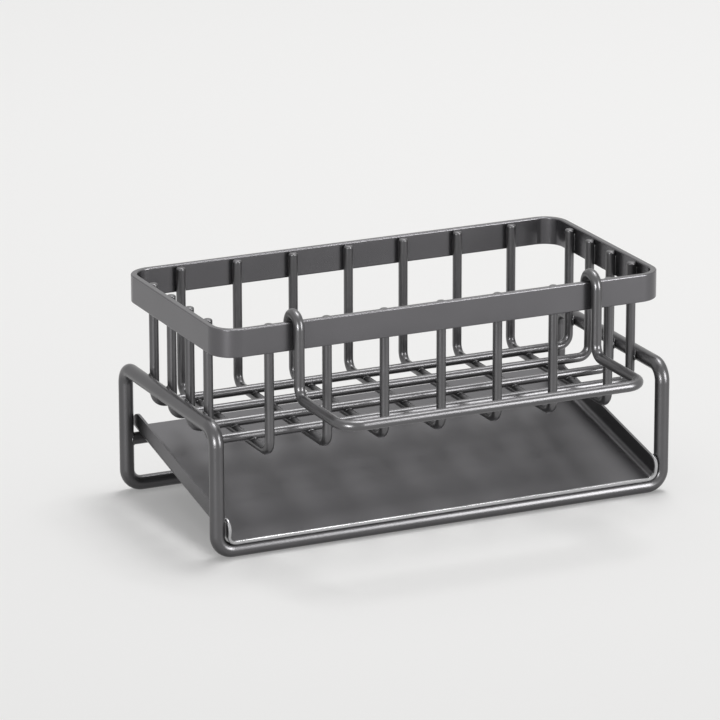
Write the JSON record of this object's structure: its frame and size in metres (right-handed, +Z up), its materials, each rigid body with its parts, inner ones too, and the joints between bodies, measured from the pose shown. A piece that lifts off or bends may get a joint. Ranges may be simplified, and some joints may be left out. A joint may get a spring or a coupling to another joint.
{
  "type": "kitchen sink caddy",
  "caption": "Wire basket on a bent-rod stand with a sloping drip tray beneath and a hook-on dishcloth rail, for sponges and brushes beside a sink.",
  "frame": {"origin": "on the counter, under the middle of the stand", "axes": "+X along the length of the basket, -Y towards the front where the dishcloth rail hangs, +Z up"},
  "size_m": [0.238, 0.1692, 0.1152],
  "materials": {
    "stand_rod": "satin gunmetal coating",
    "rim_bar": "satin gunmetal coating",
    "basket_wire": "satin gunmetal coating",
    "rail_wire": "satin gunmetal coating",
    "tray_sheet": "satin gunmetal coating"
  },
  "bodies": {
    "root": {"stand_frame": "stand_rod", "tray_crossbar": "stand_rod", "basket_rim": "rim_bar", "long_wire_1": "basket_wire", "long_wire_2": "basket_wire", "long_wire_3": "basket_wire", "long_wire_4": "basket_wire", "short_wire_1": "basket_wire", "short_wire_2": "basket_wire", "short_wire_3": "basket_wire", "short_wire_4": "basket_wire", "short_wire_5": "basket_wire", "short_wire_6": "basket_wire", "short_wire_7": "basket_wire"},
    "tray": {"drip_tray": "tray_sheet"},
    "rail": {"cloth_rail": "rail_wire"}
  },
  "joints": [
    {"name": "tray_slide", "type": "slide", "parent": "root", "child": "tray", "axis": [0, -1, 0], "range_m": [0, 0.118]},
    {"name": "rail_lift", "type": "slide", "parent": "root", "child": "rail", "axis": [0, 0, 1], "range_m": [0, 0.04]}
  ]
}
